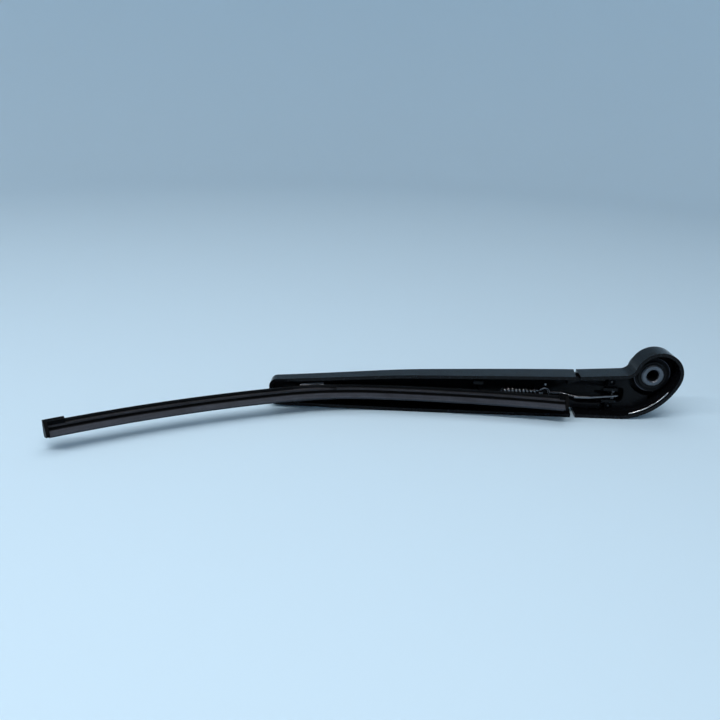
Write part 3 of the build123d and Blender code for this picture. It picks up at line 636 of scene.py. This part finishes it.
def turned_metal(name, colour, edge):
    # Bare cast metal with turned rings on its face and a fine knurl inside its bore
    material, tree, shader, coordinates = start_material(name, Metallic=1)
    radius = spindle_distance(tree, coordinates, (-1200, -240))
    axes = split_axes(tree, coordinates, (-1200, -480))
    turn = arithmetic(tree, "ARCTAN2", (-1050, -480), axes["X"], axes["Z"])
    ring_phase = arithmetic(tree, "MULTIPLY", (-900, -240), radius, 2 * math.pi / RING_PITCH)
    rings = arithmetic(tree, "SINE", (-760, -240), ring_phase)
    tooth_phase = arithmetic(tree, "MULTIPLY", (-900, -480), turn, KNURL_TEETH)
    teeth = arithmetic(tree, "SINE", (-760, -480), tooth_phase)
    in_bore = remap(tree, radius, (-900, -700), BORE_EDGE, (1, 0))
    knurl = arithmetic(tree, "MULTIPLY", (-600, -560), teeth, in_bore)
    deep = arithmetic(tree, "MULTIPLY", (-600, -760), knurl, KNURL_DEPTH)
    relief = arithmetic(tree, "ADD", (-620, -300), rings, deep)
    patch = add_noise(tree, coordinates, (-1050, 240), size=2.5 * MM, detail=6)
    tone = mix_colours(tree, patch, (-600, 300), toned(colour, 0.72), toned(colour, 1))
    tree.links.new(tone, shader.inputs["Base Color"])
    shine = remap(tree, patch, (-700, 40), NOISE_SPREAD, (0.28, 0.5))
    tree.links.new(shine, shader.inputs["Roughness"])
    add_relief(tree, shader, relief, 0.02 * MM, edge)
    return material


def drawn_metal(name, colour, gloss, scratch, depth, edge):
    # Drawn or ground steel with uneven tone and fine scratches
    material, tree, shader, coordinates = start_material(name, Metallic=1)
    patch = add_noise(tree, coordinates, (-1100, 240), size=3 * MM, detail=6)
    tone = mix_colours(tree, patch, (-600, 300), toned(colour, 0.6), toned(colour, 1.3))
    tree.links.new(tone, shader.inputs["Base Color"])
    shine = remap(tree, patch, (-800, 40), NOISE_SPREAD, gloss)
    tree.links.new(shine, shader.inputs["Roughness"])
    marks = add_noise(tree, coordinates, (-1100, -300), size=scratch, detail=4)
    add_relief(tree, shader, marks, depth, edge)
    return material


class WIPER_OT_finish_mouldings(bpy.types.Operator):
    """Gloss black on the head and the arm, satin black on the nut cover"""

    bl_idname = "wiper.finish_mouldings"
    bl_label = "Finish the head, arm and nut cover"

    def execute(self, context):
        finishes = context.scene.wiper_finishes
        black = finishes.moulding
        gloss = moulded_plastic(
            "gloss black moulding", black, finishes, specular=0.13, gloss=(0.12, 0.22), shell=True)
        satin = moulded_plastic(
            "satin black moulding", black, finishes, specular=0.15, gloss=(0.3, 0.42))
        finish_nodes(GLOSS_MOULDINGS, gloss)
        finish_nodes(["nut_cover"], satin)
        return {"FINISHED"}


class WIPER_OT_finish_clips(bpy.types.Operator):
    """Matte black on the adapter and the end caps"""

    bl_idname = "wiper.finish_clips"
    bl_label = "Finish the clips and caps"

    def execute(self, context):
        finishes = context.scene.wiper_finishes
        matte = moulded_plastic(
            "matte black clip", finishes.clip, finishes, specular=0.02, gloss=(0.4, 0.54))
        finish_nodes(CLIP_MOULDINGS, matte)
        return {"FINISHED"}


class WIPER_OT_finish_bracket(bpy.types.Operator):
    """Worn black coat on the plated bracket and its pin"""

    bl_idname = "wiper.finish_bracket"
    bl_label = "Finish the blade bracket"

    def execute(self, context):
        finishes = context.scene.wiper_finishes
        finish_nodes(BRACKET_PARTS, coated_bracket("coated plated steel", finishes))
        return {"FINISHED"}


class WIPER_OT_finish_blade_strips(bpy.types.Operator):
    """Extruded finish on the cover strips and the wiping rubber"""

    bl_idname = "wiper.finish_blade_strips"
    bl_label = "Finish the cover strips and rubber"

    def execute(self, context):
        finishes = context.scene.wiper_finishes
        strip = extruded_material(
            "two-tone black strip", finishes.strip, finishes.fin, STRIP_HEIGHT,
            gloss=(0.34, 0.46), line=0.5 * MM, depth=0.02 * MM, edge=0.3 * MM)
        # Past its height the rubber takes the fin's dark colour as painted shade for its groove
        rubber = extruded_material(
            "graphite rubber", finishes.rubber, finishes.fin, LIP_SHADE_HEIGHT,
            gloss=(0.5, 0.68), line=0.3 * MM, depth=0.03 * MM, edge=0.15 * MM)
        finish_nodes(COVER_STRIPS, strip)
        finish_nodes(["wiper_rubber"], rubber)
        return {"FINISHED"}


class WIPER_OT_finish_insert(bpy.types.Operator):
    """Turned bare metal on the spindle insert"""

    bl_idname = "wiper.finish_insert"
    bl_label = "Finish the spindle insert"

    def execute(self, context):
        finishes = context.scene.wiper_finishes
        turned = turned_metal("turned cast metal", finishes.cast_metal, finishes.edge)
        finish_nodes(["spindle_insert"], turned)
        return {"FINISHED"}


class WIPER_OT_finish_steel(bpy.types.Operator):
    """Steel on the pins and rails, dark coated wire on the spring and its hook"""

    bl_idname = "wiper.finish_steel"
    bl_label = "Finish the pins, rails, spring and hook"

    def execute(self, context):
        finishes = context.scene.wiper_finishes
        ground = drawn_metal(
            "ground steel", finishes.pin_metal,
            gloss=(0.22, 0.38), scratch=0.4 * MM, depth=0.006 * MM, edge=0.2 * MM)
        polished = drawn_metal(
            "polished steel", finishes.pin_metal,
            gloss=(0.06, 0.12), scratch=0.4 * MM, depth=0.002 * MM, edge=0.2 * MM)
        coated = drawn_metal(
            "dark coated wire", finishes.coated_metal,
            gloss=(0.09, 0.17), scratch=0.6 * MM, depth=0.006 * MM, edge=0.3 * MM)
        finish_nodes(PINS, ground)
        finish_nodes(["spring_pin"], polished)
        finish_nodes(RAILS, ground)
        finish_nodes(["tension_hook", "tension_spring"], coated)
        return {"FINISHED"}


class WIPER_OT_add_nubs(bpy.types.Operator):
    """A bright rivet in the arm's floor, and gate nubs in the two marks of the head's web"""

    bl_idname = "wiper.add_nubs"
    bl_label = "Add the rivet and gate nubs"

    def execute(self, context):
        finishes = context.scene.wiper_finishes
        gloss = moulded_plastic(
            "gate nub black", finishes.moulding, finishes, specular=0.6, gloss=(0.1, 0.16))
        bright = drawn_metal(
            "rivet steel", finishes.bright_metal,
            gloss=(0.12, 0.24), scratch=0.4 * MM, depth=0.004 * MM, edge=0.1 * MM)
        self.add_nub(context, "floor_rivet", RIVET_PLACE, bright, "arm", "pin_steel")
        for name, place in GATE_PLACES.items():
            self.add_nub(context, name, place, gloss, "head", "head_black")
        return {"FINISHED"}

    def add_nub(self, context, name, place, material, body, slot):
        # One nub that rides on a body and takes the given finish
        mesh = self.shape_nub(context.scene.wiper_shape.nub_radius, place)
        piece = make_object(context, name, mesh, material)
        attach(piece, body)

    def shape_nub(self, radius, place):
        # A short cone with a rounded shoulder and a dimple, standing towards the glass
        mesh = bmesh.new()
        bmesh.ops.create_cone(
            mesh, cap_ends=True, segments=28, radius1=radius, radius2=NUB_TAPER * radius,
            depth=NUB_HEIGHT * radius)
        top = max(mesh.faces, key=lambda face: face.calc_center_median().z)
        for inset, rise in NUB_STEPS:
            bmesh.ops.inset_individual(
                mesh, faces=[top], thickness=inset * radius, depth=rise * radius)
        bmesh.ops.rotate(mesh, verts=mesh.verts, matrix=Matrix.Rotation(math.pi / 2, 3, "X"))
        bmesh.ops.translate(mesh, verts=mesh.verts, vec=place)
        return mesh


class WIPER_OT_add_wall_bead(bpy.types.Operator):
    """Round bead along the inside of the head's lower wall, in bright metal as a painted highlight
    line
    """

    bl_idname = "wiper.add_wall_bead"
    bl_label = "Add the bead in the head"

    def execute(self, context):
        finishes = context.scene.wiper_finishes
        # The bead's bright metal is a painted highlight line along the wall
        worn = drawn_metal(
            "painted highlight bead", finishes.bright_metal,
            gloss=(0.16, 0.28), scratch=0.5 * MM, depth=0.004 * MM, edge=0.1 * MM)
        mesh = self.shape_bead(context.scene.wiper_shape)
        bead = make_object(context, "wall_bead", mesh, worn)
        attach(bead, "head")
        return {"FINISHED"}

    def shape_bead(self, shape):
        # A ring of vertices spun along the wall's curve, with pointed ends
        lowest = HEAD_BOX[0].z + HEAD_WALL
        middle = Vector((HEAD_SWEEP_X, RIM_Y + shape.bead_depth, lowest + shape.bead_sweep))
        mesh = bmesh.new()
        bmesh.ops.create_circle(mesh, cap_ends=False, segments=16, radius=shape.bead_radius)
        bmesh.ops.rotate(mesh, verts=mesh.verts, matrix=Matrix.Rotation(math.pi / 2, 3, "Y"))
        below = middle - Vector((0, 0, shape.bead_sweep))
        bmesh.ops.translate(mesh, verts=mesh.verts, vec=below)
        start = Matrix.Rotation(-shape.bead_start, 3, "Y")
        bmesh.ops.rotate(mesh, verts=mesh.verts, cent=middle, matrix=start)
        bmesh.ops.spin(
            mesh, geom=mesh.verts[:] + mesh.edges[:], cent=middle, axis=(0, -1, 0),
            angle=shape.bead_turn, steps=40)
        open_edges = [edge for edge in mesh.edges if edge.is_boundary]
        ends = bmesh.ops.holes_fill(mesh, edges=open_edges, sides=0)
        bmesh.ops.recalc_face_normals(mesh, faces=mesh.faces)
        bmesh.ops.poke(mesh, faces=ends["faces"], offset=shape.bead_radius)
        return mesh


class WIPER_OT_set_stage(bpy.types.Operator):
    """Pale round floor with a coved wall, soft lamps and the camera"""

    bl_idname = "wiper.set_stage"
    bl_label = "Set the stage"

    def execute(self, context):
        stage = context.scene.wiper_stage
        low, high = CAD_BOX
        middle = (low + high) / 2
        self.add_floor(context, stage, Vector((middle.x, middle.y, low.z)))
        over, tube, front = (middle + place for place in (TOP_PLACE, TUBE_PLACE, FILL_PLACE))
        below_tube = tube - Vector((0, 0, 1))
        add_lamp(context, "top lamp", over, middle, TOP_SIZE, stage.top_power)
        add_lamp(context, "tube lamp", tube, below_tube, TUBE_SIZE, stage.tube_power)
        add_lamp(context, "fill lamp", front, middle, FILL_SIZE, stage.fill_power)
        self.light_sky(context, stage)
        self.place_camera(context, stage)
        context.scene.view_settings.view_transform = "Standard"
        return {"FINISHED"}

    def add_floor(self, context, stage, place):
        # A round floor whose rim is drawn up into a wall, with a wide cove between them
        mesh = bmesh.new()
        bmesh.ops.create_circle(mesh, cap_ends=True, segments=96, radius=FLOOR_RADIUS)
        rim = mesh.edges[:]
        wall = bmesh.ops.extrude_edge_only(mesh, edges=rim)
        lifted = [item for item in wall["geom"] if isinstance(item, bmesh.types.BMVert)]
        bmesh.ops.translate(mesh, verts=lifted, vec=(0, 0, WALL_HEIGHT))
        bmesh.ops.bevel(
            mesh, geom=rim, offset=COVE_RADIUS, affect="EDGES", segments=20, profile=0.5,
            material=-1)
        bmesh.ops.translate(mesh, verts=mesh.verts, vec=place)
        bmesh.ops.recalc_face_normals(mesh, faces=mesh.faces)
        material, tree, shader, coordinates = start_material("pale floor", Roughness=0.9)
        patch = add_noise(tree, coordinates, (-900, 200), size=FLOOR_PATCH, detail=2)
        pale = stage.floor
        tone = mix_colours(tree, patch, (-500, 200), toned(pale, 0.97), toned(pale, 1))
        tree.links.new(tone, shader.inputs["Base Color"])
        floor = make_object(context, "studio_floor", mesh, material)

    def light_sky(self, context, stage):
        # Even light from all round, in a paler tone of the floor
        world = bpy.data.worlds.new("soft sky")
        world.use_nodes = True
        background = world.node_tree.nodes["Background"]
        background.inputs["Color"].default_value = (*stage.sky_colour, 1)
        background.inputs["Strength"].default_value = stage.sky
        context.scene.world = world

    def place_camera(self, context, stage):
        # A camera that looks along the glass side, pitched down and rolled
        data = bpy.data.cameras.new("camera")
        data.lens = stage.lens
        data.sensor_width = SENSOR_WIDTH
        data.clip_start = CLIP_START
        camera = bpy.data.objects.new("camera", data)
        pitch = Matrix.Rotation(math.pi / 2 - stage.pitch, 3, "X")
        camera.rotation_euler = (pitch @ Matrix.Rotation(stage.roll, 3, "Z")).to_euler()
        camera.location = stage.camera_place
        context.scene.collection.objects.link(camera)
        context.scene.camera = camera


class WIPER_PT_sidebar(bpy.types.Panel):
    """Lists the steps and the values that shape them"""

    bl_label = "Wiper arm"
    bl_idname = "WIPER_PT_sidebar"
    bl_space_type = "VIEW_3D"
    bl_region_type = "UI"
    bl_category = "Wiper arm"

    def draw(self, context):
        scene = context.scene
        for group in (scene.wiper_finishes, scene.wiper_shape, scene.wiper_stage):
            box = self.layout.box()
            for name in group.__annotations__:
                box.prop(group, name)
        for step in STEPS:
            self.layout.operator(step.bl_idname)


STEPS = (
    WIPER_OT_finish_mouldings,
    WIPER_OT_finish_clips,
    WIPER_OT_finish_bracket,
    WIPER_OT_finish_blade_strips,
    WIPER_OT_finish_insert,
    WIPER_OT_finish_steel,
    WIPER_OT_add_nubs,
    WIPER_OT_add_wall_bead,
    WIPER_OT_set_stage,
)
CLASSES = (WiperFinishes, WiperShape, WiperStage, *STEPS, WIPER_PT_sidebar)


def register():
    for item in CLASSES:
        bpy.utils.register_class(item)
    bpy.types.Scene.wiper_finishes = bpy.props.PointerProperty(type=WiperFinishes)
    bpy.types.Scene.wiper_shape = bpy.props.PointerProperty(type=WiperShape)
    bpy.types.Scene.wiper_stage = bpy.props.PointerProperty(type=WiperStage)


def unregister():
    del bpy.types.Scene.wiper_stage
    del bpy.types.Scene.wiper_shape
    del bpy.types.Scene.wiper_finishes
    for item in reversed(CLASSES):
        bpy.utils.unregister_class(item)


def main():
    register()
    bpy.ops.wiper.finish_mouldings()
    bpy.ops.wiper.finish_clips()
    bpy.ops.wiper.finish_bracket()
    bpy.ops.wiper.finish_blade_strips()
    bpy.ops.wiper.finish_insert()
    bpy.ops.wiper.finish_steel()
    bpy.ops.wiper.add_nubs()
    bpy.ops.wiper.add_wall_bead()
    bpy.ops.wiper.set_stage()


if __name__ == "__main__":
    main()
